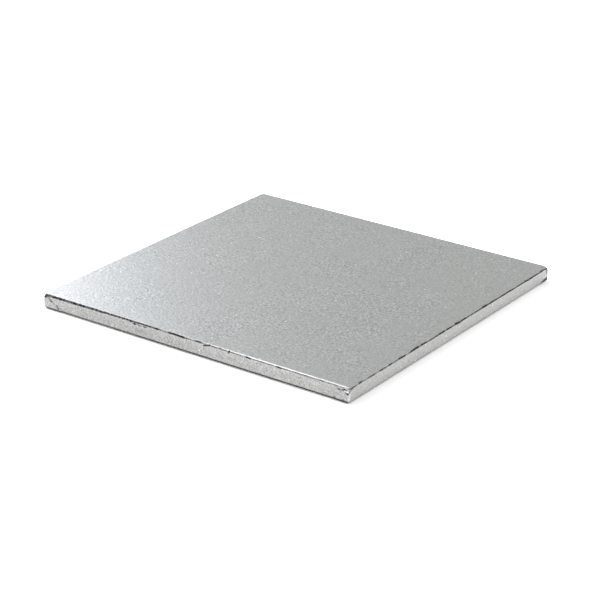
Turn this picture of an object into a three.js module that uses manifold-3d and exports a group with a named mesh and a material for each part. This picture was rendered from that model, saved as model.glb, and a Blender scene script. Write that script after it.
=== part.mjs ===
// A square cake board: a stiff board wrapped in one sheet of embossed silver foil paper, with folded
// corners, turned-in edges and a plain backing sheet underneath. Millimetres, +Z up.
// X runs along the two sides that carry the folded ears, and the underside lies at z = 0.
import * as THREE from "three";
import { mergeVertices } from "three/addons/utils/BufferGeometryUtils.js";
import Module from "manifold-3d";

const wasm = await Module();
wasm.setup();

// Driving dimensions
const boardLength = 300; // along X, over the foil
const boardWidth = 300; // along Y, over the folded ears
const boardThickness = 13; // from the backing sheet to the top of the foil
const foilThickness = 0.15; // foil on its paper, one layer
const glueLine = 0.1; // film of paste between two layers
const cornerRadius = 1.6; // vertical corners, over the foil
const edgeRadius = 1.2; // where the foil folds over the top and under the bottom edges
const turnInWidth = 20; // foil turned in under the board
const earTopWidth = 3.5; // width of a folded ear where it starts, below the top edge
const earBottomWidth = 17; // width of a folded ear where it goes under the bottom edge
const backingThickness = 0.2; // paper under the board
const backingMargin = 7; // from the side of the board to the edge of the backing sheet
const backingCornerRadius = 2; // corners of the backing sheet

// Fineness of the curves
const cornerSteps = 4; // curve segments of a vertical corner
const edgeSteps = 4; // curve segments of a rounded edge

// An ear is the foil folded back on itself, so it is two layers thick and stands proud by as much.
const earThickness = 2 * foilThickness;

// Levels, from the underside up
const earUnderside = backingThickness + glueLine;
const turnInUnderside = earUnderside + earThickness;
const coreUnderside = turnInUnderside + foilThickness + glueLine;
const coreTop = boardThickness - foilThickness - glueLine;

// Width between the two long sides where no ear stands proud
const plainWidth = boardWidth - 2 * earThickness;

// How far the shapes that only cut reach past what they cut
const cutMargin = 5;

// A closed geometry as a solid that can be joined and cut.
function toSolid(geometry) {
  const bare = geometry.clone();
  bare.deleteAttribute("normal");
  bare.deleteAttribute("uv");
  const merged = mergeVertices(bare, 1e-4);
  return new wasm.Manifold(
    new wasm.Mesh({
      numProp: 3,
      vertProperties: new Float32Array(merged.attributes.position.array),
      triVerts: new Uint32Array(merged.index.array),
    }),
  );
}

// A solid as a geometry with flat faces.
function toGeometry(solid) {
  const mesh = solid.getMesh();
  const geometry = new THREE.BufferGeometry();
  geometry.setAttribute("position", new THREE.BufferAttribute(mesh.vertProperties, 3));
  geometry.setIndex(new THREE.BufferAttribute(mesh.triVerts, 1));
  const faceted = geometry.toNonIndexed();
  faceted.computeVertexNormals();
  return faceted;
}

// The outline of a rectangle with round corners, centred on the origin.
function roundedRectangle(length, width, radius) {
  const x = length / 2 - radius;
  const y = width / 2 - radius;
  const shape = new THREE.Shape();
  shape.absarc(x, y, radius, 0, Math.PI / 2);
  shape.absarc(-x, y, radius, Math.PI / 2, Math.PI);
  shape.absarc(-x, -y, radius, Math.PI, 1.5 * Math.PI);
  shape.absarc(x, -y, radius, 1.5 * Math.PI, 2 * Math.PI);
  shape.closePath();
  return shape;
}

// A slab between two levels, with round corners and with round edges above and below.
function roundedSlab(length, width, corner, edge, low, high) {
  const outline = roundedRectangle(length - 2 * edge, width - 2 * edge, corner - edge);
  const slab = new THREE.ExtrudeGeometry(outline, {
    depth: high - low - 2 * edge,
    curveSegments: cornerSteps,
    bevelThickness: edge,
    bevelSize: edge,
    bevelSegments: edgeSteps,
  });
  return slab.translate(0, 0, low + edge);
}

// A flat sheet between two levels, with round corners and square edges.
function flatSheet(length, width, corner, low, high) {
  const outline = roundedRectangle(length, width, corner);
  const sheet = new THREE.ExtrudeGeometry(outline, {
    depth: high - low,
    curveSegments: cornerSteps,
    bevelEnabled: false,
  });
  return sheet.translate(0, 0, low);
}

// A prism of the given outline whose far end has an edge as round as a folded ear.
function earPrism(points, depth) {
  const outline = new THREE.Shape(points.map(([x, y]) => new THREE.Vector2(x, y)));
  return new THREE.ExtrudeGeometry(outline, {
    depth: depth - 2 * earThickness,
    bevelThickness: earThickness,
    bevelSize: earThickness,
    bevelOffset: -earThickness,
    bevelSegments: edgeSteps,
  }).translate(0, 0, earThickness - depth);
}

// The space that the ear takes on the side of the board, at the corner with the lowest x and y.
// Its outline is drawn in x and z: a slanting fold that runs from the top edge to the bottom one.
function earOnSide() {
  const top = boardThickness - edgeRadius;
  const bottom = earUnderside;
  const corner = -boardLength / 2;
  const prism = earPrism(
    [
      [corner - cutMargin, bottom - cutMargin],
      [corner + earBottomWidth, bottom - cutMargin],
      [corner + earBottomWidth, bottom],
      [corner + earTopWidth, top],
      [corner - cutMargin, top],
    ],
    edgeRadius + earThickness,
  );
  // The drawing's x, y and depth become x, z and -y, with the round end at the face of the board.
  return prism.rotateX(Math.PI / 2).translate(0, -boardWidth / 2, 0);
}

// The space that the same ear takes under the board. Its two edges run inwards at 45 degrees, one
// from the corner and one from the foot of the slanting fold, as far as the turn-in goes.
function earUnderneath() {
  const cornerX = -boardLength / 2;
  const cornerY = -boardWidth / 2;
  const prism = earPrism(
    [
      [cornerX, -cornerY],
      [cornerX + turnInWidth, -cornerY - turnInWidth],
      [cornerX + turnInWidth + earBottomWidth, -cornerY - turnInWidth],
      [cornerX + earBottomWidth, -cornerY],
    ],
    edgeRadius + earThickness,
  );
  // Turned over about X, so that the round end faces down.
  return prism.rotateX(Math.PI).translate(0, 0, earUnderside);
}

// The ear at one corner: what the two spaces share with the outer form of the board.
function foldedEar(outerForm, mirrorX, mirrorY) {
  const space = toSolid(earOnSide()).add(toSolid(earUnderneath()));
  return space.scale([mirrorX, mirrorY, 1]).intersect(outerForm);
}

// The whole sheet: a shell round the board, its four ears, and the turn-ins that leave the middle
// of the underside open.
function foilWrap() {
  const outerForm = toSolid(
    roundedSlab(boardLength, boardWidth, cornerRadius, edgeRadius, earUnderside, boardThickness),
  );
  let sheet = toSolid(
    roundedSlab(boardLength, plainWidth, cornerRadius, edgeRadius, turnInUnderside, boardThickness),
  );
  for (const mirrorX of [1, -1]) {
    for (const mirrorY of [1, -1]) {
      sheet = sheet.add(foldedEar(outerForm, mirrorX, mirrorY));
    }
  }
  const inside = roundedSlab(
    boardLength - 2 * foilThickness,
    plainWidth - 2 * foilThickness,
    cornerRadius - foilThickness,
    edgeRadius - foilThickness,
    turnInUnderside + foilThickness,
    boardThickness - foilThickness,
  );
  const opening = flatSheet(
    boardLength - 2 * turnInWidth,
    boardWidth - 2 * turnInWidth,
    foilThickness,
    earUnderside - cutMargin,
    coreUnderside,
  );
  return toGeometry(sheet.subtract(toSolid(inside)).subtract(toSolid(opening)));
}

// The stiff board inside, a glue line smaller than the foil all round.
function coreBoard() {
  const skin = foilThickness + glueLine;
  return roundedSlab(
    boardLength - 2 * skin,
    plainWidth - 2 * skin,
    cornerRadius - skin,
    edgeRadius - skin,
    coreUnderside,
    coreTop,
  );
}

// The paper that covers the raw edges of the turn-ins.
function backingSheet() {
  return flatSheet(
    boardLength - 2 * backingMargin,
    boardWidth - 2 * backingMargin,
    backingCornerRadius,
    0,
    backingThickness,
  );
}

const foil = new THREE.MeshStandardMaterial({ color: "#bcbfbf", roughness: 0.35, metalness: 1 });
const greyboard = new THREE.MeshStandardMaterial({ color: "#9b9286", roughness: 0.9, metalness: 0 });
const paper = new THREE.MeshStandardMaterial({ color: "#eeece6", roughness: 0.8, metalness: 0 });

const board = new THREE.Group();

function addPiece(name, geometry, material) {
  const mesh = new THREE.Mesh(geometry, material);
  mesh.name = name;
  board.add(mesh);
}

addPiece("core_board", coreBoard(), greyboard);
addPiece("foil_wrap", foilWrap(), foil);
addPiece("backing_sheet", backingSheet(), paper);

export default board;
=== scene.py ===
# A square cake board covered in embossed silver foil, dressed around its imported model.
import math

import bpy
from mathutils import Matrix, Vector, noise


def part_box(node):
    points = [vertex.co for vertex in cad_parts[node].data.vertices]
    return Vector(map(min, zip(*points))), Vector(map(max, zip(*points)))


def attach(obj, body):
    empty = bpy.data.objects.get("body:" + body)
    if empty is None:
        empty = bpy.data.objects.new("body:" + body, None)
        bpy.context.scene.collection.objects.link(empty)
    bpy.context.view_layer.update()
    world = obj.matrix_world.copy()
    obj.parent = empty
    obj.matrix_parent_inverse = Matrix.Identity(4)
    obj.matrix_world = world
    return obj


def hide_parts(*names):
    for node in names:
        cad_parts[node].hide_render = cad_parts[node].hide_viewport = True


bl_info = {
    "name": "Foil Cake Board",
    "version": (1, 0, 0),
    "blender": (4, 5, 0),
    "location": "3D View > Sidebar > Cake Board",
    "description": "Foil sheet, stiff core, backing paper and studio for a square cake board",
    "category": "Object",
}

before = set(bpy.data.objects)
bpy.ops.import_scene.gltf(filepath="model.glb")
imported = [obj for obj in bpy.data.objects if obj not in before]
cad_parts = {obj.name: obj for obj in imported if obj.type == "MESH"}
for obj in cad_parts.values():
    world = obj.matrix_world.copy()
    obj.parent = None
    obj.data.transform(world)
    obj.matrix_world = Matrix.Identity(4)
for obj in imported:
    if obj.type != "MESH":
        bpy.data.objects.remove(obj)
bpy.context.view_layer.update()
MM = 0.001
BODY = "root"


def in_mm(corner):
    """A corner of the frame, in millimetres."""
    return Vector(corner) / MM


FOIL_LOW, FOIL_HIGH = (in_mm(c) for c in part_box("foil_wrap"))
CORE_LOW, CORE_HIGH = (in_mm(c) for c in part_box("core_board"))
PAPER_LOW, PAPER_HIGH = (in_mm(c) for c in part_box("backing_sheet"))
HALF_X = FOIL_HIGH.x
HALF_Y = FOIL_HIGH.y
TOP = FOIL_HIGH.z


# Settings that a user would change

class BoardSettings(bpy.types.PropertyGroup):
    sheet_mm: bpy.props.FloatProperty(
        name="Foil thickness", description="One layer of foil on its paper, in millimetres",
        default=0.15, min=0.05, max=0.5)
    corner_mm: bpy.props.FloatProperty(
        name="Corner radius", description="Vertical corners over the foil, in millimetres",
        default=1.6, min=1.3, max=10.0)
    edge_mm: bpy.props.FloatProperty(
        name="Edge radius", description="Fold of the foil over the top and bottom edges, in millimetres",
        default=1.2, min=0.5, max=1.25)
    turn_in_mm: bpy.props.FloatProperty(
        name="Turn-in", description="Foil turned in under the board, in millimetres",
        default=20.0, min=8.0, max=60.0)
    ear_top_mm: bpy.props.FloatProperty(
        name="Ear at the top", description="Width of a folded ear below the top edge, in millimetres",
        default=3.5, min=0.5, max=20.0)
    ear_bottom_mm: bpy.props.FloatProperty(
        name="Ear at the bottom", description="Width of a folded ear at the bottom edge, in millimetres",
        default=17.0, min=1.0, max=60.0)
    crumple_mm: bpy.props.FloatProperty(
        name="Crumple", description="Depth of the creases near the folded corners, in millimetres",
        default=0.2, min=0.0, max=1.0)


class FinishSettings(bpy.types.PropertyGroup):
    foil_colour: bpy.props.StringProperty(
        name="Foil", description="Colour of the silver foil, sRGB hex", default="C3C5C3")
    # Painted shade: the dark colour given to creased foil, the top edges, the ear folds and the foot of
    # the board
    crease_shade_colour: bpy.props.StringProperty(
        name="Crease", description="Colour of the foil in a sharp crease, sRGB hex", default="1E2022")
    core_colour: bpy.props.StringProperty(
        name="Greyboard", description="Colour of the stiff core, sRGB hex", default="9B9286")
    paper_colour: bpy.props.StringProperty(
        name="Backing paper", description="Colour of the paper underneath, sRGB hex", default="EEECE6")
    grain_mm: bpy.props.FloatProperty(
        name="Grain", description="Spacing of the embossed grain, in millimetres",
        default=1.7, min=0.3, max=10.0)


class StudioSettings(bpy.types.PropertyGroup):
    azimuth: bpy.props.FloatProperty(
        name="Azimuth", description="Camera bearing round the board, 0 looks along +Y",
        default=math.radians(35.149), subtype="ANGLE", unit="ROTATION")
    elevation: bpy.props.FloatProperty(
        name="Elevation", description="Camera height angle above the table",
        default=math.radians(22.955), subtype="ANGLE", unit="ROTATION")
    roll: bpy.props.FloatProperty(
        name="Roll", description="Turn of the camera about its own line of sight",
        default=math.radians(0.758), subtype="ANGLE", unit="ROTATION")
    distance: bpy.props.FloatProperty(
        name="Distance", description="From the camera to the point it looks at",
        default=1.6392, unit="LENGTH", subtype="DISTANCE")
    target: bpy.props.FloatVectorProperty(
        name="Target", description="The point that the camera looks at",
        default=(0.0152, -0.02259, 0.006), size=3, subtype="TRANSLATION", unit="LENGTH")
    lens: bpy.props.FloatProperty(
        name="Lens", description="Focal length on a 36 mm wide sensor, in millimetres",
        default=120.52, min=10.0, max=500.0)
    key_watts: bpy.props.FloatProperty(
        name="Overhead light", description="Power of the softbox above the board, in watts",
        default=9.5, min=0.0)
    side_watts: bpy.props.FloatProperty(
        name="Side light", description="Power of the softbox that shines on the left corner, in watts",
        default=13.6, min=0.0)
    fill_watts: bpy.props.FloatProperty(
        name="Fill light",
        description="Power of the softbox that softens the shadow on the right, in watts",
        default=9.5, min=0.0)
    sky_level: bpy.props.FloatProperty(
        name="Room light", description="Strength of the room's light on the object",
        default=0.95, min=0.0)


# Materials

def linear(hex_colour):
    """A linear colour with alpha from an sRGB hex value."""
    channels = [int(hex_colour[i:i + 2], 16) / 255 for i in (0, 2, 4)]
    return [c / 12.92 if c <= 0.04045 else ((c + 0.055) / 1.055) ** 2.4 for c in channels] + [1.0]


def shade(colour, factor):
    """A darker or lighter tone of a linear colour."""
    return [factor * c for c in colour[:3]] + [1.0]


def add_node(tree, kind, settings=None, links=None):
    """Adds a node, sets its attributes and sockets, and links its inputs to other nodes' outputs."""
    node = tree.nodes.new(kind)
    for name, value in (settings or {}).items():
        if isinstance(name, int) or name in node.inputs:
            node.inputs[name].default_value = value
        else:
            setattr(node, name, value)
    for name, source in (links or {}).items():
        tree.links.new(source, node.inputs[name])
    return node


def new_material(name):
    """A material without nodes, and the tree that takes them."""
    material = bpy.data.materials.new(name)
    material.use_nodes = True
    tree = material.node_tree
    tree.nodes.clear()
    return material, tree


def finish_material(tree, shader_output):
    """Links a shader to the material's output."""
    add_node(tree, "ShaderNodeOutputMaterial", links={"Surface": shader_output})


def object_point(tree):
    """The object coordinate in metres, the same on every side of the board."""
    return add_node(tree, "ShaderNodeTexCoord").outputs["Object"]


def embossed_silver_foil(settings):
    """Aluminium foil on paper, run through an embossing roller with a fine random grain: satin, with small
    bright facets whose glints are painted into its colour against a softer grey, and painted shade as dark
    lines along its creases, edges and foot."""
    material, tree = new_material("embossed_silver_foil")
    per_metre = 1000 / settings.grain_mm
    drift = 0.002  # how many metres the grain is pulled out of line
    glitter = 0.6  # extra brightness painted on a facet: a painted glint where it would catch the light
    highlight_gain = 1.1  # extra brightness where the painted highlight is full
    facet_height = 0.5  # against the height of the pebbles
    emboss_depth = 0.00021  # metres
    point = object_point(tree)
    warp = add_node(
        tree, "ShaderNodeTexNoise", {"Scale": per_metre * 0.5, "Detail": 1.0}, {"Vector": point})
    shift = add_node(
        tree, "ShaderNodeVectorMath", {"operation": "MULTIPLY_ADD", 1: (drift,) * 3},
        {0: warp.outputs["Color"], 2: point})
    wall = add_node(tree, "ShaderNodeAttribute", {"attribute_name": "wall"})
    fineness = add_node(
        tree, "ShaderNodeMapRange", {"To Min": per_metre, "To Max": 1.8 * per_metre},
        {"Value": wall.outputs["Fac"]})
    pebble = add_node(
        tree, "ShaderNodeTexNoise", {"Detail": 2.0, "Roughness": 0.55},
        {"Vector": shift.outputs["Vector"], "Scale": fineness.outputs["Result"]})
    facets = add_node(
        tree, "ShaderNodeTexVoronoi", {"feature": "F1", "Scale": per_metre * 0.45},
        {"Vector": shift.outputs["Vector"]})
    glint = add_node(
        tree, "ShaderNodeMapRange", {"From Min": 0.28, "From Max": 0.12, "To Min": 0.0, "To Max": 1.0},
        {"Value": facets.outputs["Distance"]})
    chance = add_node(tree, "ShaderNodeSeparateColor", links={"Color": facets.outputs["Color"]})
    chosen = add_node(
        tree, "ShaderNodeMapRange", {"From Min": 0.9, "From Max": 0.96},
        {"Value": chance.outputs["Red"]})
    sparkle = add_node(
        tree, "ShaderNodeMath", {"operation": "MULTIPLY"},
        {0: glint.outputs["Result"], 1: chosen.outputs["Result"]})
    patches = add_node(
        tree, "ShaderNodeTexNoise", {"Scale": 30.0, "Detail": 2.0}, {"Vector": point})
    lively = add_node(
        tree, "ShaderNodeMapRange", {"From Min": 0.38, "From Max": 0.6, "To Min": 0.85, "To Max": 1.8},
        {"Value": patches.outputs["Fac"]})
    relief = add_node(tree, "ShaderNodeAttribute", {"attribute_name": "relief"})
    contrast = add_node(
        tree, "ShaderNodeMix", {"data_type": "FLOAT"},
        {0: wall.outputs["Fac"], 2: lively.outputs["Result"], 3: relief.outputs["Fac"]})
    centred = add_node(
        tree, "ShaderNodeMath", {"operation": "SUBTRACT", 1: 0.5}, {0: pebble.outputs["Fac"]})
    grain = add_node(
        tree, "ShaderNodeMath", {"operation": "MULTIPLY_ADD", 2: 1.0},
        {0: centred.outputs["Value"], 1: contrast.outputs[0]})
    glittering = add_node(
        tree, "ShaderNodeMath", {"operation": "MULTIPLY_ADD", 1: glitter},
        {0: sparkle.outputs["Value"], 2: grain.outputs["Value"]})
    # painted highlight: brighter foil along the left-front top edge, its foot and the front corner
    highlight = add_node(tree, "ShaderNodeAttribute", {"attribute_name": "highlight"})
    lit = add_node(
        tree, "ShaderNodeMath", {"operation": "MULTIPLY_ADD", 1: highlight_gain},
        {0: highlight.outputs["Fac"], 2: glittering.outputs["Value"]})
    bright = add_node(
        tree, "ShaderNodeVectorMath", {"operation": "SCALE", 0: linear(settings.foil_colour)[:3]},
        {"Scale": lit.outputs["Value"]})
    # painted shade: dark lines along creases, the top edges and the ear folds, and the painted shadow
    # under the board, mixed towards the dark colour
    crease_shade = add_node(tree, "ShaderNodeAttribute", {"attribute_name": "crease_shade"})
    colour = add_node(
        tree, "ShaderNodeMix", {"data_type": "RGBA", 7: linear(settings.crease_shade_colour)},
        {0: crease_shade.outputs["Fac"], 6: bright.outputs["Vector"]})
    height = add_node(
        tree, "ShaderNodeMath", {"operation": "MULTIPLY_ADD", 1: facet_height},
        {0: sparkle.outputs["Value"], 2: pebble.outputs["Fac"]})
    bump = add_node(
        tree, "ShaderNodeBump", {"Strength": 1.0, "Distance": emboss_depth},
        {"Height": height.outputs["Value"]})
    shader = add_node(
        tree, "ShaderNodeBsdfPrincipled", {"Metallic": 1.0, "Roughness": 0.37},
        {"Base Color": colour.outputs[2], "Normal": bump.outputs["Normal"]})
    finish_material(tree, shader.outputs["BSDF"])
    return material


def raw_greyboard(settings):
    """Board made from waste paper, calendered and unprinted: matt, grey-brown, with short dark and
    light fibres."""
    material, tree = new_material("raw_greyboard")
    point = object_point(tree)
    fibres = add_node(
        tree, "ShaderNodeTexNoise", {"Scale": 900.0, "Detail": 6.0, "Roughness": 0.7}, {"Vector": point})
    base = linear(settings.core_colour)
    colour = add_node(
        tree, "ShaderNodeMix",
        {"data_type": "RGBA", 6: shade(base, 0.7), 7: shade(base, 1.15)},
        {0: fibres.outputs["Fac"]})
    bump = add_node(
        tree, "ShaderNodeBump", {"Strength": 0.5, "Distance": 0.00005}, {"Height": fibres.outputs["Fac"]})
    shader = add_node(
        tree, "ShaderNodeBsdfPrincipled", {"Roughness": 0.9, "IOR": 1.5},
        {"Base Color": colour.outputs[2], "Normal": bump.outputs["Normal"]})
    finish_material(tree, shader.outputs["BSDF"])
    return material


def uncoated_white_paper(settings):
    """Plain wood-free paper, machine finished: matt warm white with a faint cloudy formation."""
    material, tree = new_material("uncoated_white_paper")
    point = object_point(tree)
    clouds = add_node(
        tree, "ShaderNodeTexNoise", {"Scale": 180.0, "Detail": 8.0, "Roughness": 0.65}, {"Vector": point})
    base = linear(settings.paper_colour)
    colour = add_node(
        tree, "ShaderNodeMix",
        {"data_type": "RGBA", 6: shade(base, 0.93), 7: base},
        {0: clouds.outputs["Fac"]})
    bump = add_node(
        tree, "ShaderNodeBump", {"Strength": 0.4, "Distance": 0.00003}, {"Height": clouds.outputs["Fac"]})
    shader = add_node(
        tree, "ShaderNodeBsdfPrincipled", {"Roughness": 0.8, "IOR": 1.5},
        {"Base Color": colour.outputs[2], "Normal": bump.outputs["Normal"]})
    finish_material(tree, shader.outputs["BSDF"])
    return material


# How closely the points of the meshes lie, in millimetres and in steps

SHARP_ANGLE = math.radians(40)  # a fold sharper than this keeps a hard edge
END_REACH = 26.0  # the stretch at each end of a side that holds the ears and the crumpled foil
END_STEP = 0.55
CREASED_STEP = 0.8  # between the ends, on the two sides with single creases
PLAIN_STEP = 1.6  # between the ends, on the other two
CORNER_STEPS = 8
TOP_FOLD_STEPS = 10
BOTTOM_FOLD_STEPS = 6
SIDE_STEPS = 17
SIDE_CROWDING = 1.35  # above 1, the rows of a side lie closer together towards its top
TOP_INSETS = (40.0, 20.0, 10.0, 6.0, 4.0, 2.8, 2.0)
TURN_IN_INSETS = (1.8, 3.0, 5.0, 8.0, 12.0, 16.0)
SLAB_CORNER_STEPS = 6
SLAB_FOLD_STEPS = 4
SLAB_INSETS = (5.0, 12.0, 30.0, 60.0)


# Meshes

def smoothstep(low, high, value):
    """0 below low, 1 above high and smooth between; low may be the larger."""
    t = min(1.0, max(0.0, (value - low) / (high - low)))
    return t * t * (3 - 2 * t)


def make_object(name, vertices_mm, faces, material):
    """A mesh object from points in millimetres."""
    mesh = bpy.data.meshes.new(name)
    mesh.from_pydata([(x * MM, y * MM, z * MM) for x, y, z in vertices_mm], [], faces)
    mesh.update()
    mesh.materials.append(material)
    mesh.polygons.foreach_set("use_smooth", [True] * len(mesh.polygons))
    mesh.set_sharp_from_angle(angle=SHARP_ANGLE)
    piece = bpy.data.objects.new(name, mesh)
    bpy.context.scene.collection.objects.link(piece)
    return piece


def stations_along(length, fine_reach, fine_step, coarse_step):
    """Shares from 0 to 1 of a straight side, close together near both ends."""
    fine = [i * fine_step for i in range(int(fine_reach / fine_step))]
    count = max(1, round((length - 2 * fine_reach) / coarse_step))
    middle = [fine_reach + i * (length - 2 * fine_reach) / count for i in range(count + 1)]
    back = [length - f for f in reversed(fine)]
    return [p / length for p in fine + middle + back]


def outline_stations(corner_steps):
    """The stops round a rounded rectangle, as ("side", index, share) and ("corner", index, share):
    side 0 is -Y from left to right, then come +X, +Y and -X, each with the corner after it. The first
    two carry single creases, so their stops are closer together."""
    stops = []
    for side in range(4):
        middle_step = CREASED_STEP if side < 2 else PLAIN_STEP
        shares = stations_along(2 * HALF_X, END_REACH, END_STEP, middle_step)
        stops += [("side", side, s) for s in shares[1:-1]]
        stops += [("corner", side, i / corner_steps) for i in range(corner_steps + 1)]
    return stops


def outline_point(stop, half_x, half_y, radius):
    """The point of the outline at a stop, and the direction outwards there."""
    kind, index, share = stop
    cx = half_x - radius
    cy = half_y - radius
    centres = [(cx, -cy), (cx, cy), (-cx, cy), (-cx, -cy)]
    if kind == "corner":
        angle = math.radians(-90 + 90 * index + 90 * share)
        out = Vector((math.cos(angle), math.sin(angle)))
        return Vector(centres[index]) + radius * out, out
    starts = [(-cx, -half_y), (half_x, -cy), (cx, half_y), (-half_x, cy)]
    ends = [(cx, -half_y), (half_x, cy), (-cx, half_y), (-half_x, -cy)]
    outs = [(0, -1), (1, 0), (0, 1), (-1, 0)]
    return Vector(starts[index]).lerp(Vector(ends[index]), share), Vector(outs[index])


def quarter_turn(steps):
    """The sine and cosine at equal steps from 0 to 90 degrees."""
    angles = [math.pi / 2 * i / steps for i in range(steps + 1)]
    return [(math.sin(a), math.cos(a)) for a in angles]


def foil_profile(settings, turn_in_z):
    """The section of the sheet as (inset, z, outward share, upward share, outside?), from the middle
    of the top over the edge, down the side, under the board, and back along the inside."""
    edge = settings.edge_mm
    sheet = settings.sheet_mm
    side_high = TOP - edge
    side_low = turn_in_z + edge
    side_shares = [(i / SIDE_STEPS) ** SIDE_CROWDING for i in range(1, SIDE_STEPS)]
    rows = [(inset, TOP, 0.0, 1.0, True) for inset in TOP_INSETS]
    rows += [
        (edge * (1 - sine), TOP - edge * (1 - cosine), sine, cosine, True)
        for sine, cosine in quarter_turn(TOP_FOLD_STEPS)]
    rows += [(0.0, side_high + (side_low - side_high) * share, 1.0, 0.0, True) for share in side_shares]
    rows += [
        (edge * (1 - cosine), side_low - edge * sine, cosine, -sine, True)
        for sine, cosine in quarter_turn(BOTTOM_FOLD_STEPS)]
    raw = settings.turn_in_mm
    rows += [(inset, turn_in_z, 0.0, -1.0, True) for inset in (*TURN_IN_INSETS, raw)]
    inner_z = turn_in_z + sheet
    rows += [(raw, inner_z, 0.0, 1.0, False), (edge, inner_z, 0.0, 1.0, False)]
    rows += [(sheet, side_low, -1.0, 0.0, False), (sheet, side_high, -1.0, 0.0, False)]
    rows += [(edge, TOP - sheet, 0.0, -1.0, False), (TOP_INSETS[0], TOP - sheet, 0.0, -1.0, False)]
    return rows


def ring_faces(rings, points):
    """The faces of a stack of rings with so many points each: a lid on the first ring, four-sided faces
    between each ring and the next, and a lid on the last."""
    faces = [tuple(range(points))]
    for ring in range(rings - 1):
        for i in range(points):
            a = ring * points + i
            b = ring * points + (i + 1) % points
            faces.append((a, a + points, b + points, b))
    last = (rings - 1) * points
    faces.append(tuple(last + i for i in reversed(range(points))))
    return faces


# The ears at the four corners, by the signs of x and y: how many millimetres wider each is at the bottom
# than its setting, how bowed its slanting fold is, how dark the painted shade along that fold is, how
# crumpled its corner and by how many millimetres the corner's tips, the upper and the lower one, are
# knocked blunt.
EAR_SHAPES = {
    (-1, -1): (1.5, 1.05, 1.0, 0.4, 0.75, 0.3),
    (1, -1): (-3.0, 0.9, 0.3, 1.2, 0.15, 0.2),
    (1, 1): (-0.5, 1.1, 0.5, 0.7, 0.5, 0.0),
    (-1, 1): (0.3, 0.8, 0.5, 0.7, 0.2, 0.2),
}

# Dents along the top of the left-front side: distance from its left end, half width and depth.
EDGE_DENTS = [
    (94.0, 4.0, 0.15),
    (103.0, 5.0, 0.15),
    (140.0, 5.5, 0.12),
    (167.0, 4.0, 0.1),
    (189.5, 2.0, 0.1),
]
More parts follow.
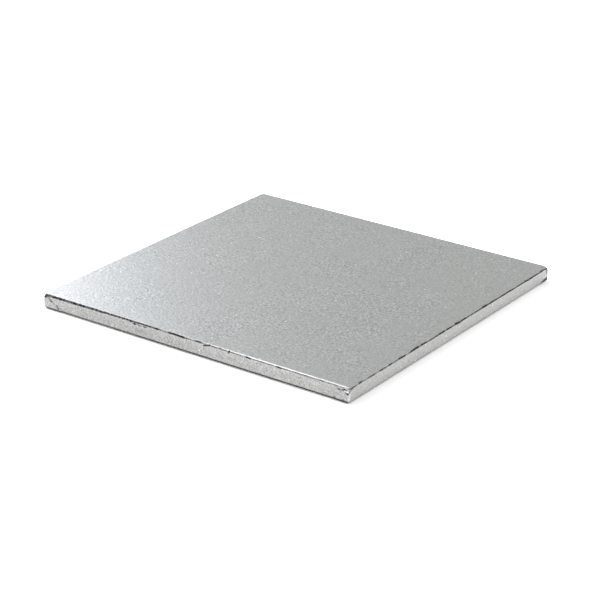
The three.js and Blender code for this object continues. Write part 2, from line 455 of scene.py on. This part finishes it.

# Painted shade on the sides, as strokes: dark lines along single creases, and where they are wide and
# weak, faint
# wide darkening: the side, the distance from its left end and the depth below the top at both ends of the
# stroke, then its half width and its strength. Side 0 is the left-front one, side 1 the right-front one,
# and 2 and 3 follow.
SHADE_STROKES = [
    (0, (0.4, 1.2), (3.0, 2.2), 1.2, 1.0),
    (0, (0.3, 1.0), (0.4, 11.0), 0.7, 0.8),
    (0, (10.5, 1.1), (15.5, 0.9), 0.6, 1.0),
    (0, (7.0, 4.6), (9.2, 5.4), 0.6, 0.7),
    (0, (13.4, 7.7), (15.4, 7.9), 0.5, 0.7),
    (0, (15.0, 9.4), (16.2, 9.8), 0.65, 0.9),
    (0, (18.0, 9.2), (19.2, 9.4), 0.35, 0.3),
    (0, (20.0, 10.5), (22.5, 10.3), 0.35, 0.35),
    (0, (5.6, 9.6), (7.6, 9.8), 0.4, 0.35),
    (0, (91.5, 0.6), (96.5, 2.2), 0.8, 1.0),
    (0, (98.0, 1.7), (101.0, 2.4), 0.5, 0.7),
    (0, (101.0, 2.4), (104.5, 1.6), 0.45, 0.6),
    (0, (92.0, 1.9), (95.0, 1.4), 0.4, 0.6),
    (0, (105.5, 2.4), (107.5, 2.0), 0.6, 0.9),
    (0, (116.5, 0.5), (120.0, 0.5), 0.6, 1.0),
    (0, (130.0, 0.6), (133.0, 0.5), 0.6, 1.0),
    (0, (134.5, 0.3), (145.5, 0.8), 0.75, 1.0),
    (0, (157.0, 0.4), (162.0, 0.5), 0.6, 0.9),
    (0, (164.8, 2.1), (170.5, 0.4), 0.6, 1.0),
    (0, (173.0, 0.7), (177.0, 0.7), 0.4, 0.6),
    (0, (179.0, 0.5), (182.0, 0.4), 0.4, 0.7),
    (0, (189.4, 0.0), (189.0, 1.7), 0.65, 1.0),
    (0, (186.5, 0.6), (193.0, 0.6), 0.4, 0.6),
    (0, (205.5, 0.7), (209.5, 1.0), 0.55, 1.0),
    (0, (219.0, 0.8), (223.0, 0.8), 0.35, 0.6),
    (0, (224.0, 0.9), (229.0, 0.8), 0.35, 0.7),
    (0, (234.0, 0.7), (238.0, 0.9), 0.55, 0.95),
    (0, (259.0, 0.7), (261.5, 0.7), 0.4, 0.8),
    (0, (274.0, 0.6), (277.0, 0.7), 0.4, 0.7),
    (0, (277.0, 9.9), (286.0, 9.1), 0.3, 0.3),
    (0, (284.5, 8.2), (290.0, 6.5), 0.3, 0.35),
    (0, (286.4, 11.0), (287.6, 11.0), 0.65, 0.9),
    (0, (288.4, 1.7), (290.6, 1.8), 0.3, 0.4),
    (0, (289.6, 3.0), (292.2, 3.3), 0.5, 1.0),
    (0, (292.2, 3.3), (295.6, 2.3), 0.5, 0.8),
    (0, (293.4, 10.9), (295.6, 10.5), 0.4, 0.8),
    (0, (295.2, 2.0), (296.3, 1.8), 0.65, 1.0),
    (0, (296.8, 2.4), (298.2, 2.2), 0.45, 0.9),
    (0, (297.0, 4.3), (298.6, 4.9), 0.55, 0.9),
    (0, (298.5, 5.0), (299.8, 4.9), 0.85, 1.0),
    (0, (38.0, 5.6), (90.0, 5.4), 3.0, 0.06),
    (0, (97.0, 7.4), (107.0, 6.6), 2.0, 0.15),
    (0, (112.0, 5.2), (150.0, 5.4), 3.0, 0.05),
    (0, (131.0, 6.6), (142.0, 7.8), 1.8, 0.1),
    (0, (150.5, 4.2), (151.5, 7.0), 2.0, 0.12),
    (0, (179.5, 6.5), (182.0, 7.0), 1.5, 0.14),
    (1, (6.5, 1.1), (3.0, 1.7), 0.55, 1.0),
    (1, (3.0, 1.7), (0.8, 3.2), 0.5, 0.8),
    (1, (0.8, 3.2), (0.2, 4.8), 0.6, 0.9),
    (1, (13.0, 0.8), (17.0, 0.6), 0.6, 0.9),
    (1, (28.0, 0.9), (34.0, 1.0), 0.6, 0.9),
    (1, (42.0, 0.9), (45.0, 1.1), 0.65, 1.0),
    (1, (52.5, 0.9), (58.0, 0.9), 0.6, 1.0),
    (1, (67.5, 0.8), (76.0, 1.0), 0.65, 1.0),
    (1, (84.0, 0.9), (95.0, 0.6), 0.65, 1.0),
    (1, (99.0, 0.7), (107.0, 0.9), 0.6, 1.0),
    (1, (112.5, 0.9), (121.0, 1.0), 0.55, 0.9),
    (1, (125.5, 0.8), (133.0, 0.9), 0.65, 1.0),
    (1, (136.0, 0.9), (144.0, 0.9), 0.65, 1.0),
    (1, (149.5, 0.7), (156.0, 1.2), 0.85, 1.0),
    (1, (156.0, 1.0), (166.0, 0.9), 0.65, 1.0),
    (1, (166.0, 1.0), (180.0, 1.0), 0.5, 0.85),
    (1, (191.5, 0.7), (198.0, 0.9), 0.75, 1.0),
    (1, (204.0, 0.7), (214.0, 1.0), 0.6, 0.95),
    (1, (222.0, 0.9), (228.0, 1.0), 0.6, 0.95),
    (1, (230.0, 0.8), (240.0, 1.1), 0.6, 0.95),
    (1, (252.5, 0.9), (257.5, 0.8), 0.55, 0.95),
    (1, (260.0, 0.7), (266.0, 1.2), 0.65, 1.0),
    (1, (268.0, 0.9), (273.0, 1.1), 0.75, 1.0),
    (1, (275.5, 0.9), (282.0, 1.0), 0.55, 0.85),
    (1, (285.5, 0.7), (291.0, 0.8), 0.65, 0.95),
    (1, (291.0, 0.8), (297.5, 0.9), 0.5, 0.9),
    (1, (286.0, 12.0), (291.0, 11.5), 0.6, 0.9),
    (1, (289.5, 11.3), (294.0, 11.0), 1.2, 0.95),
    (1, (292.5, 11.0), (298.0, 10.5), 1.7, 0.95),
    (1, (281.0, 7.2), (297.0, 7.2), 5.0, 0.05),
    (1, (297.8, 1.6), (298.6, 5.4), 1.9, 0.9),
    (1, (298.6, 5.4), (298.6, 9.5), 1.1, 0.45),
    (3, (299.5, 1.0), (299.5, 11.0), 1.1, 0.8),
]


# Stretches over which a side's look changes, in millimetres from its left end. On the left-front side:
BOLD_FADES = (138.0, 110.0)  # the bold painted shade line along the top edge ends
BOLD_NARROWS = (20.0, 100.0)
FOOT_DARKENS = (40.0, 130.0)  # the painted shadow line under the board
FOOT_BRIGHTENS = (140.0, 200.0)  # the painted highlight along the foot
EDGE_BRIGHTENS = (140.0, 235.0)  # the painted highlight along the top edge
# On the right-front side:
GAPS_CLOSE = (120.0, 220.0)  # the painted shade line along the top edge has no more gaps
EDGE_DARKENS = (40.0, 220.0)

# How strong the grain looks on each side, from the left-front one on.
SIDE_RELIEF = (1.9, 1.5, 1.9, 1.9)

# Fine unevenness of the foil, in millimetres
TIP_REACH = (4.0, 0.5)  # from a corner's tip, where its bluntness starts and is full
CRUMPLE_REACH = (24.0, 4.0)  # from a corner, where the foil starts to crumple and is fully crumpled
UNEVEN_REACH = (2.6, 1.0)  # from the side inwards, where the foil starts to be uneven and is fully so
SIDE_RIPPLE = 0.06
EDGE_RIPPLE = 0.04
FOOT_DARK = (1.4, 1.05)  # above the turn-in, where the painted shadow under the board starts and is full
TOUCH = 0.01  # two places this near count as one


def ear_fold(settings, corner, z):
    """How far from the corner the slanting fold of an ear lies at a height."""
    extra, bow = EAR_SHAPES[corner][:2]
    depth = min(1.0, max(0.0, (TOP - settings.edge_mm - z) / (TOP - 2 * settings.edge_mm)))
    return settings.ear_top_mm + (settings.ear_bottom_mm + extra - settings.ear_top_mm) * depth ** bow


def below_top_edge(settings, z):
    """0 in the fold over the top edge and 1 below it, where the ears lie on the side."""
    return smoothstep(TOP - 0.5 * settings.edge_mm, TOP - 1.3 * settings.edge_mm, z)


def ridged(point, scale):
    """Sharp-crested noise from 0 to 1, for crumpled foil."""
    return 1 - abs(noise.noise(point * scale)) * 2


def band(distance, half_width, soft=0.2):
    """1 within half a width of a line, falling to 0 over a soft margin."""
    return smoothstep(half_width + soft, half_width, abs(distance))


def distance_to_stroke(place, start, end):
    """The distance from a point to a straight stroke, in its plane."""
    line = Vector(end) - Vector(start)
    share = (Vector(place) - Vector(start)).dot(line) / line.length_squared
    return (Vector(place) - Vector(start) - line * min(1.0, max(0.0, share))).length


def along_side(stop, x, y):
    """The side that a point belongs to and its distance from that side's left end, seen from outside."""
    side = stop[1]
    if stop[0] == "corner" and stop[2] >= 0.5:
        side = (side + 1) % 4
    along = (x + HALF_X, y + HALF_Y, HALF_X - x, HALF_Y - y)[side]
    return side, along


def top_edge_shade(side, along, depth, point):
    """Painted shade: the dark line where the foil bends over the top edge, bold on the left of the
    left-front side and thin on its right, strong on the right-front side, and faint and broken on the
    other two."""
    wander = 0.15 * noise.noise(point * 0.35)
    if side == 0:
        bold = smoothstep(*BOLD_FADES, along)
        frayed = 0.8 + 0.5 * noise.noise(point * 0.8)
        narrowing = smoothstep(*BOLD_NARROWS, along)
        thick = bold * frayed * band(depth - 0.95 + 0.5 * narrowing - wander, 0.85 - 0.3 * narrowing)
        broken = smoothstep(-0.2, 0.3, noise.noise(Vector((along * 0.22, 4.0, 1.0))))
        thin = (1 - bold) * (0.45 + 0.35 * broken) * band(depth - 0.7 - wander, 0.28)
        return max(thick, thin)
    broken = smoothstep(-0.4, 0.2, noise.noise(Vector((along * 0.2, 9.0 + side, 2.0))))
    if side == 1:
        steady = smoothstep(*GAPS_CLOSE, along)
        strength = 0.8 + 0.2 * smoothstep(*EDGE_DARKENS, along)
        return strength * max(0.55 + 0.45 * broken, 0.95 * steady) * band(depth - 0.9 - wander, 0.45)
    return 0.5 * (0.55 + 0.45 * broken) * band(depth - 0.9 - wander, 0.42)


def side_shade(side, along, depth, z, point, low):
    """How much painted shade a point of a side carries: along its creases and folds, and as painted shadow
    under the board.
    """
    crease_shade = top_edge_shade(side, along, depth, point)
    # painted shadow along the foot of each side, under the board
    under = (0.8 + 0.2 * smoothstep(*FOOT_DARKENS, along), 0.35, 0.6, 0.4)[side]
    crease_shade = max(crease_shade, under * smoothstep(*FOOT_DARK, z - low))
    frayed = 0.25 * noise.noise(point * 1.2)
    for on, start, end, half_width, strength in SHADE_STROKES:
        if on == side:
            reach = distance_to_stroke((along, depth), start, end) + frayed
            crease_shade = max(crease_shade, strength * band(max(0.0, reach), half_width * 0.5, half_width))
    return crease_shade


def ear_lift(settings, stop, z, up_share, corner, u, v, point):
    """How much of the ear's thickness stands proud at a point, u along X and v along Y from the corner,
    and how much painted shade lies along its folded edge."""
    dark = EAR_SHAPES[corner][2]
    wobble = 0.5 * noise.noise(point * 0.5)
    below_top = below_top_edge(settings, z)
    if (stop[0] == "corner" or stop[1] in (0, 2)) and v < settings.edge_mm + TOUCH:
        fold = ear_fold(settings, corner, z) + wobble
        patchy = 0.8 + 1.0 * noise.noise(point * 0.6)
        faded = smoothstep(8.6, 6.0, TOP - z)
        # painted shade along the ear's fold, fading towards the bottom
        crease_shade = dark * below_top * band(u - fold - 0.35, 0.3, 0.4) * patchy * (0.15 + 0.85 * faded)
        return smoothstep(fold + 0.35, fold - 0.2, u) * below_top, crease_shade
    if up_share < -0.5:
        foot = ear_fold(settings, corner, 0.0)
        lift = smoothstep(0.35, -0.2, u - v - foot) * smoothstep(-0.3, 0.2, u - v)
        # painted shade along the folds under the board
        return lift, max(0.7 * band(u - v - foot - 0.3, 0.1, 0.4), 0.5 * band(u - v, 0.1, 0.3))
    return 0.0, 0.0


# Painted highlights on the sides, as bright strokes in the same terms as the painted shade strokes.
HIGHLIGHT_STROKES = [
    (0, (290.0, 0.4), (297.5, 0.9), 0.6, 1.0),
    (0, (296.6, 2.9), (299.3, 3.7), 0.9, 0.9),
    (1, (0.8, 5.6), (0.6, 11.0), 0.9, 0.4),
    (1, (292.0, 8.6), (298.0, 7.0), 0.5, 0.3),
]


def painted_highlight(side, along, depth, inset, out_share, up_share):
    """How much painted highlight the foil carries where it bends over the top of the left-front side,
    along the foot of that side and at the front corner."""
    highlight = 0.0
    if side == 0 and up_share == 0.0:
        highlight = (0.07 + 0.07 * smoothstep(*FOOT_BRIGHTENS, along)) * smoothstep(7.8, 9.6, depth)
    if side == 0 and up_share > 0.0:
        patchy = 0.9 + 0.4 * noise.noise(Vector((along * 0.3, 0.0, 7.0)))
        edge_highlight = smoothstep(*EDGE_BRIGHTENS, along) * patchy
        highlight = edge_highlight * smoothstep(1.6, 1.15, inset) * smoothstep(0.9, 0.75, out_share)
    for on, start, end, half_width, strength in HIGHLIGHT_STROKES:
        if on == side and out_share > 0.05:
            reach = distance_to_stroke((along, depth), start, end)
            highlight = max(highlight, strength * band(reach, half_width * 0.5, half_width))
    return highlight


def foil_vertex(settings, stop, row, turn_in_z):
    """The place of one point of the sheet, and as painted values: how much painted shade it carries,
    whether it is on a side, how much painted highlight it carries and how strong its grain looks there."""
    inset, z, out_share, up_share, outside = row
    half_y = HALF_Y - 2 * settings.sheet_mm
    radius = max(settings.corner_mm - inset, settings.corner_mm - settings.edge_mm)
    flat, out = outline_point(stop, HALF_X - inset, half_y - inset, radius)
    x, y = flat
    corner = (1 if x > 0 else -1, 1 if y > 0 else -1)
    crumpled, upper_tip, lower_tip = EAR_SHAPES[corner][3:]
    u = HALF_X - abs(x)
    v = half_y - abs(y)
    point = Vector((x, y, z))
    depth = TOP - z
    upper_tip *= smoothstep(*TIP_REACH, Vector((u, v, depth)).length)
    lower_tip *= smoothstep(*TIP_REACH, Vector((u, v, z - turn_in_z)).length)
    x -= corner[0] * (upper_tip + lower_tip)
    y -= corner[1] * (upper_tip + lower_tip)
    z += lower_tip - upper_tip
    if not outside:
        return (x, y, z), 0.0, 0.0, 0.0, 0.0
    side, along = along_side(stop, point.x, point.y)
    near_corner = smoothstep(*CRUMPLE_REACH, math.hypot(max(0.0, u), max(0.0, v)))
    lift, crease_shade = ear_lift(settings, stop, z, up_share, corner, u, v, point)

    # The ear stands proud across Y on the side and downwards under the board. The end of the plain
    # side follows it out to the corner.
    thick = 2 * settings.sheet_mm
    if stop[0] == "side" and stop[1] in (1, 3):
        follow = below_top_edge(settings, z) * smoothstep(6.0, 1.0, v)
        dy = corner[1] * thick * follow if up_share > -0.5 else 0.0
    else:
        dy = corner[1] * thick * lift * out_share if v < settings.edge_mm + TOUCH else 0.0
    dz = min(0.0, up_share) * thick * lift

    # Crumpled foil round the corners, faint ripples along the sides, and dents in the top edge
    push = 0.0
    if inset < UNEVEN_REACH[0]:
        fade = smoothstep(*UNEVEN_REACH, inset)
        rough = ridged(point, 0.28) * 0.6 + ridged(point + Vector((31.0, 7.0, 3.0)), 0.7) * 0.4
        push -= settings.crumple_mm * crumpled * near_corner * max(0.0, rough - 0.35) * fade
        # painted shade in the sharpest crumples near the corners
        if out_share > 0.2:
            crease_shade = max(crease_shade, 0.6 * crumpled * near_corner * smoothstep(0.9, 1.0, rough))
        push -= SIDE_RIPPLE * (0.5 + noise.noise(Vector((x * 0.08, y * 0.08, z * 0.25)))) * out_share
        if side == 0 and stop[0] == "side" and depth < 4:
            for centre, reach, deep in EDGE_DENTS:
                share = smoothstep(reach, 0.0, abs(along - centre + 1.5 * noise.noise(point * 0.9)))
                push -= deep * share * smoothstep(4.0, 1.0, depth) * fade
        if 0.0 < out_share < 1.0 and up_share > 0.0:
            push -= EDGE_RIPPLE * (0.5 + 0.5 * noise.noise(Vector((x * 0.35, y * 0.35, z))))
    # painted shade along the sides, and painted shadow at their foot
    if out_share > 0.05:
        crease_shade = max(crease_shade, side_shade(side, along, depth, z, point, turn_in_z))

    move = out * (push * out_share)
    x = min(HALF_X, max(-HALF_X, x + move.x))
    y = min(HALF_Y, max(-HALF_Y, y + move.y + dy))
    z = min(TOP, max(FOIL_LOW.z, z + push * max(0.0, up_share) + dz))
    highlight = painted_highlight(side, along, depth, inset, out_share, up_share)
    wall = smoothstep(0.3, 0.9, out_share)
    return (x, y, z), min(1.0, max(0.0, crease_shade)), wall, max(0.0, highlight), SIDE_RELIEF[side]


def build_foil(settings, material):
    """The foil sheet: rings of points round the board, row by row along the sheet's section."""
    turn_in_z = FOIL_LOW.z + 2 * settings.sheet_mm
    rows = foil_profile(settings, turn_in_z)
    stops = outline_stations(CORNER_STEPS)
    made = [foil_vertex(settings, stop, row, turn_in_z) for row in rows for stop in stops]
    vertices = [each[0] for each in made]
    piece = make_object("foil_sheet", vertices, ring_faces(len(rows), len(stops)), material)
    for index, name in enumerate(("crease_shade", "wall", "highlight", "relief"), start=1):
        layer = piece.data.attributes.new(name, "FLOAT", "POINT")
        layer.data.foreach_set("value", [each[index] for each in made])
    return piece


def build_slab(name, low, high, corner, edge, material, rows_between, ripple):
    """A slab with round corners and softened edges, made of rings from the middle of its top to the
    middle of its underside. Its top and underside ripple into it by a depth in millimetres."""
    turn = quarter_turn(SLAB_FOLD_STEPS)
    section = [(inset, high.z, 1.0) for inset in reversed(SLAB_INSETS)]
    section += [(edge * (1 - sine), high.z - edge * (1 - cosine), 0.0) for sine, cosine in turn]
    section += [
        (0.0, high.z - edge - (high.z - low.z - 2 * edge) * i / rows_between, 0.0)
        for i in range(1, rows_between)]
    section += [(edge * (1 - cosine), low.z + edge * (1 - sine), 0.0) for sine, cosine in turn]
    section += [(inset, low.z, -1.0) for inset in SLAB_INSETS]
    stops = outline_stations(SLAB_CORNER_STEPS)[::2]
    vertices = []
    for inset, z, flat_side in section:
        radius = max(corner - inset, corner - edge)
        for stop in stops:
            flat, _ = outline_point(stop, high.x - inset, high.y - inset, radius)
            wave = ripple * (0.5 + 0.5 * noise.noise(Vector((flat.x * 0.03, flat.y * 0.03, 5.0))))
            vertices.append((flat.x, flat.y, z - flat_side * wave * smoothstep(0.0, 8.0, inset)))
    return make_object(name, vertices, ring_faces(len(section), len(stops)), material)


# The two slabs, in millimetres. The core is clear of the foil's ripples, and the paper lies in soft
# waves where the paste has dried.
CORE_CLEAR = Vector((0.25, 0.25, 0.0))
CORE_CORNER = 4.0
CORE_EDGE = 1.1
CORE_ROWS = 6
PAPER_CORNER = 2.0
PAPER_EDGE = 0.08
PAPER_ROWS = 2
PAPER_RIPPLE = 0.04


# Operators

class CAKEBOARD_OT_foil(bpy.types.Operator):
    """Makes the embossed foil sheet with its folded corners and turn-ins"""
    bl_idname = "cakeboard.foil"
    bl_label = "Foil Sheet"

    def execute(self, context):
        piece = build_foil(context.scene.cakeboard, embossed_silver_foil(context.scene.cakeboard_finish))
        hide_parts("foil_wrap")
        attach(piece, BODY)
        return {"FINISHED"}


class CAKEBOARD_OT_core(bpy.types.Operator):
    """Makes the stiff greyboard core inside the foil"""
    bl_idname = "cakeboard.core"
    bl_label = "Stiff Core"

    def execute(self, context):
        piece = build_slab(
            "greyboard_core", CORE_LOW + CORE_CLEAR, CORE_HIGH - CORE_CLEAR, CORE_CORNER, CORE_EDGE,
            raw_greyboard(context.scene.cakeboard_finish), rows_between=CORE_ROWS, ripple=0.0)
        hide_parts("core_board")
        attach(piece, BODY)
        return {"FINISHED"}


class CAKEBOARD_OT_backing(bpy.types.Operator):
    """Makes the paper glued under the board"""
    bl_idname = "cakeboard.backing"
    bl_label = "Backing Paper"

    def execute(self, context):
        piece = build_slab(
            "backing_paper", PAPER_LOW, PAPER_HIGH, PAPER_CORNER, PAPER_EDGE,
            uncoated_white_paper(context.scene.cakeboard_finish), rows_between=PAPER_ROWS,
            ripple=PAPER_RIPPLE)
        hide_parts("backing_sheet")
        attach(piece, BODY)
        return {"FINISHED"}


def room(settings):
    """A white room: the camera sees plain white, metal sees it dim towards the ceiling and towards
    the front, where the photographer stands."""
    world = bpy.data.worlds.new("white_room")
    bpy.context.scene.world = world
    world.use_nodes = True
    tree = world.node_tree
    tree.nodes.clear()
    path = add_node(tree, "ShaderNodeLightPath")
    direction = add_node(tree, "ShaderNodeTexCoord").outputs["Generated"]
    split = add_node(tree, "ShaderNodeSeparateXYZ", links={"Vector": direction})
    towards_ceiling = add_node(
        tree, "ShaderNodeMapRange", {"From Min": 0.05, "From Max": 0.35, "To Min": 1.02, "To Max": 0.585},
        {"Value": split.outputs["Z"]})
    behind_camera = add_node(
        tree, "ShaderNodeMapRange", {"From Min": -0.8, "From Max": 0.2, "To Min": 0.82, "To Max": 1.0},
        {"Value": split.outputs["Y"]})
    seen_in_metal = add_node(
        tree, "ShaderNodeMath", {"operation": "MULTIPLY"},
        {0: towards_ceiling.outputs["Result"], 1: behind_camera.outputs["Result"]})
    mirrored = add_node(
        tree, "ShaderNodeMath", {"operation": "MAXIMUM"},
        {0: path.outputs["Is Glossy Ray"], 1: path.outputs["Is Transmission Ray"]})
    level = add_node(
        tree, "ShaderNodeMix", {"data_type": "FLOAT", 2: settings.sky_level},
        {0: mirrored.outputs["Value"], 3: seen_in_metal.outputs["Value"]})
    strength = add_node(
        tree, "ShaderNodeMix", {"data_type": "FLOAT", 3: 1.0},
        {0: path.outputs["Is Camera Ray"], 2: level.outputs[0]})
    white = add_node(
        tree, "ShaderNodeBackground", {"Color": (1, 1, 1, 1)}, {"Strength": strength.outputs[0]})
    add_node(tree, "ShaderNodeOutputWorld", links={"Surface": white.outputs["Background"]})


def softbox(name, place, aim, width, height, watts, colour="FFFFFF"):
    """A rectangular area light at a place, turned to a point."""
    lamp = bpy.data.lights.new(name, "AREA")
    lamp.shape = "RECTANGLE"
    lamp.size = width
    lamp.size_y = height
    lamp.energy = watts
    lamp.color = linear(colour)[:3]
    light = bpy.data.objects.new(name, lamp)
    light.location = place
    light.rotation_euler = (Vector(aim) - Vector(place)).to_track_quat("-Z", "Y").to_euler()
    bpy.context.scene.collection.objects.link(light)


# The table top, in metres, and the tones in which the camera sees it
TABLE_HALF = 30.0
TABLE_DROP = 0.0001  # below the paper, so that the two don't lie in one plane
PLAIN_UNTIL = 0.145  # going right, the table is painted brighter than white up to here, which washes out the board's shadow
SHADED_FROM = 0.151  # and shows the board's shadow from here
PLAIN_TONE = 1.5
SHADED_TONE = 1.07


def white_floor():
    """A white table top: it keeps the shadow that the board throws to its right, on the side away from
    the overhead light. Elsewhere the camera sees it with painted light, brighter than white, which washes
    out the board's shadow. The two meet at the foot of the board's right side."""
    material, tree = new_material("white_table")
    path = add_node(tree, "ShaderNodeLightPath")
    mirrored = add_node(
        tree, "ShaderNodeMix",
        {"data_type": "RGBA", 6: (0.8, 0.8, 0.8, 1), 7: (0.935, 0.912, 0.922, 1)},
        {0: path.outputs["Is Glossy Ray"]})
    place = add_node(tree, "ShaderNodeSeparateXYZ", links={"Vector": object_point(tree)})
    overexposed = add_node(
        tree, "ShaderNodeMapRange",
        {"From Min": PLAIN_UNTIL, "From Max": SHADED_FROM, "To Min": PLAIN_TONE, "To Max": SHADED_TONE},
        {"Value": place.outputs["X"]})
    seen = add_node(
        tree, "ShaderNodeMix", {"data_type": "RGBA"},
        {0: path.outputs["Is Camera Ray"], 6: mirrored.outputs[2], 7: overexposed.outputs["Result"]})
    matt = add_node(tree, "ShaderNodeBsdfDiffuse", links={"Color": seen.outputs[2]})
    finish_material(tree, matt.outputs["BSDF"])
    corners = [(x * TABLE_HALF, y * TABLE_HALF, 0) for x, y in ((-1, -1), (1, -1), (1, 1), (-1, 1))]
    mesh = bpy.data.meshes.new("table_top")
    mesh.from_pydata(corners, [], [(0, 1, 2, 3)])
    mesh.materials.append(material)
    floor = bpy.data.objects.new("table_top", mesh)
    floor.location.z = -TABLE_DROP
    bpy.context.scene.collection.objects.link(floor)


def photo_camera(settings):
    """The camera at the photo's place, solved from the outline of the board."""
    a, e, r = settings.azimuth, settings.elevation, settings.roll
    back = Vector((math.sin(a) * math.cos(e), -math.cos(a) * math.cos(e), math.sin(e)))
    right = Vector((math.cos(a), math.sin(a), 0.0))
    up = back.cross(right)
    rolled_right = right * math.cos(r) + up * math.sin(r)
    rolled_up = up * math.cos(r) - right * math.sin(r)
    turn = Matrix((rolled_right, rolled_up, back)).transposed().to_4x4()
    lens = bpy.data.cameras.new("photo_camera")
    lens.sensor_width = 36.0
    lens.lens = settings.lens
    lens.clip_start = 0.05
    lens.clip_end = 200.0
    camera = bpy.data.objects.new("photo_camera", lens)
    camera.matrix_world = Matrix.Translation(Vector(settings.target) + back * settings.distance) @ turn
    bpy.context.scene.collection.objects.link(camera)
    bpy.context.scene.camera = camera


class CAKEBOARD_OT_stage(bpy.types.Operator):
    """Makes the white table, the room, the lights and the camera"""
    bl_idname = "cakeboard.stage"
    bl_label = "Stage"

    def execute(self, context):
        settings = context.scene.cakeboard_studio
        context.scene.view_settings.view_transform = "Standard"
        photo_camera(settings)
        room(settings)
        white_floor()
        softbox(
            "overhead_softbox", place=(-1.2, 0.0, 1.6), aim=(0.0, 0.0, 0.0), width=0.9, height=0.9,
            watts=settings.key_watts)
        softbox(
            "right_softbox", place=(1.5, 1.0, 1.1), aim=(0.1, 0.0, 0.0), width=1.0, height=1.0,
            watts=settings.fill_watts)
        softbox(
            "left_softbox", place=(-1.85, 0.98, 0.8), aim=(-0.1, 0.0, 0.0), width=1.0, height=1.4,
            watts=settings.side_watts, colour="F0F3FF")
        return {"FINISHED"}


class CAKEBOARD_PT_panel(bpy.types.Panel):
    """Lists the pieces of the cake board and their settings"""
    bl_idname = "CAKEBOARD_PT_panel"
    bl_label = "Cake Board"
    bl_space_type = "VIEW_3D"
    bl_region_type = "UI"
    bl_category = "Cake Board"

    def draw(self, context):
        layout = self.layout
        for operator in OPERATORS:
            layout.operator(operator.bl_idname)
        scene = context.scene
        for group in (scene.cakeboard, scene.cakeboard_finish, scene.cakeboard_studio):
            box = layout.box()
            for name in group.bl_rna.properties.keys():
                if name not in ("rna_type", "name"):
                    box.prop(group, name)


OPERATORS = (CAKEBOARD_OT_stage, CAKEBOARD_OT_core, CAKEBOARD_OT_foil, CAKEBOARD_OT_backing)
CLASSES = (BoardSettings, FinishSettings, StudioSettings, *OPERATORS, CAKEBOARD_PT_panel)


def register():
    for each in CLASSES:
        bpy.utils.register_class(each)
    bpy.types.Scene.cakeboard = bpy.props.PointerProperty(type=BoardSettings)
    bpy.types.Scene.cakeboard_finish = bpy.props.PointerProperty(type=FinishSettings)
    bpy.types.Scene.cakeboard_studio = bpy.props.PointerProperty(type=StudioSettings)


def unregister():
    del bpy.types.Scene.cakeboard_studio
    del bpy.types.Scene.cakeboard_finish
    del bpy.types.Scene.cakeboard
    for each in reversed(CLASSES):
        bpy.utils.unregister_class(each)


def main():
    register()
    bpy.ops.cakeboard.stage()
    bpy.ops.cakeboard.core()
    bpy.ops.cakeboard.foil()
    bpy.ops.cakeboard.backing()


if __name__ == "__main__":
    main()
